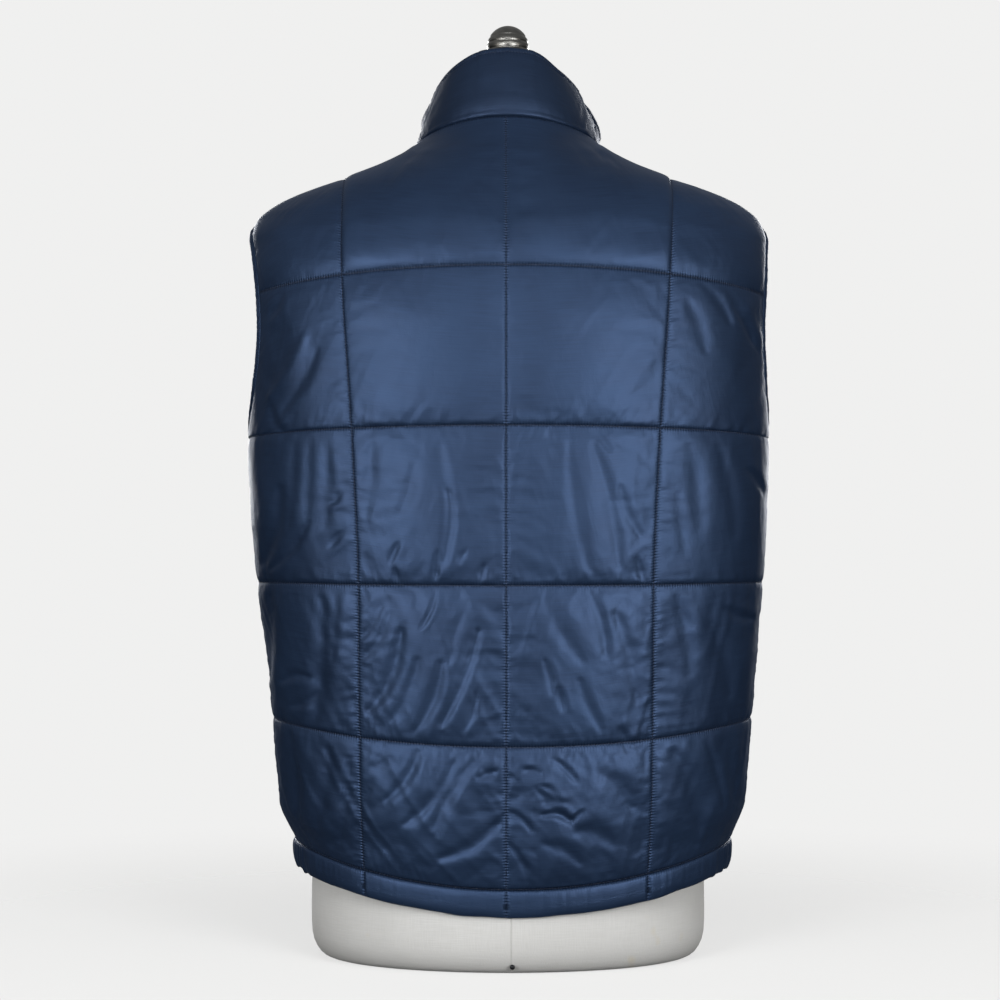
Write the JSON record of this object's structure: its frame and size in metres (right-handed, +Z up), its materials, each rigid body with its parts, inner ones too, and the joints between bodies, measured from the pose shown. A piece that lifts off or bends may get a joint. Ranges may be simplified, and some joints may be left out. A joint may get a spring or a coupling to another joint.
{
  "type": "quilted padded vest on a limbless dress form",
  "caption": "Sleeveless quilted padded vest with a stand collar, front zip and gathered hem, worn hollow on a limbless fabric-covered dress form with a turned metal finial.",
  "frame": {"origin": "on the surface that the form stands on, below the middle of the whole object's outline", "axes": "+Z up; the vest's front faces -Y and its back +Y; +X is the wearer's left"},
  "size_m": [0.4561, 0.2897, 0.817],
  "materials": {
    "navy_cloth": "satin-weave nylon, quilted over wadding",
    "zip_tape": "woven polyester tape",
    "form_linen": "plain-weave linen drawn over a smooth torso",
    "form_metal": "dark turned metal, polished",
    "zip_metal": "cast zinc alloy, plated",
    "tack_metal": "blackened steel"
  },
  "bodies": {
    "vest": {"back": "navy_cloth", "front_left": "navy_cloth", "front_right": "navy_cloth", "hem_back": "navy_cloth", "hem_left": "navy_cloth", "hem_right": "navy_cloth", "armhole_binding_left": "navy_cloth", "armhole_binding_right": "navy_cloth", "collar": "navy_cloth", "zip_tape_left": "zip_tape", "zip_tape_right": "zip_tape", "zip_slider": "zip_metal", "zip_bottom_stop": "zip_metal", "zip_top_stop_left": "zip_metal", "zip_top_stop_right": "zip_metal", "form_torso": "form_linen", "form_neck_plate": "form_metal", "form_finial": "form_metal", "form_tack": "tack_metal"},
    "pull_tab": {"zip_pull_tab": "zip_metal"}
  },
  "joints": [
    {"name": "pull_tab_swing", "type": "hinge", "parent": "vest", "child": "pull_tab", "pos_m": [0, -0.12399, 0.60199], "axis": [-1, 0, 0], "range_deg": [0, 170]}
  ]
}
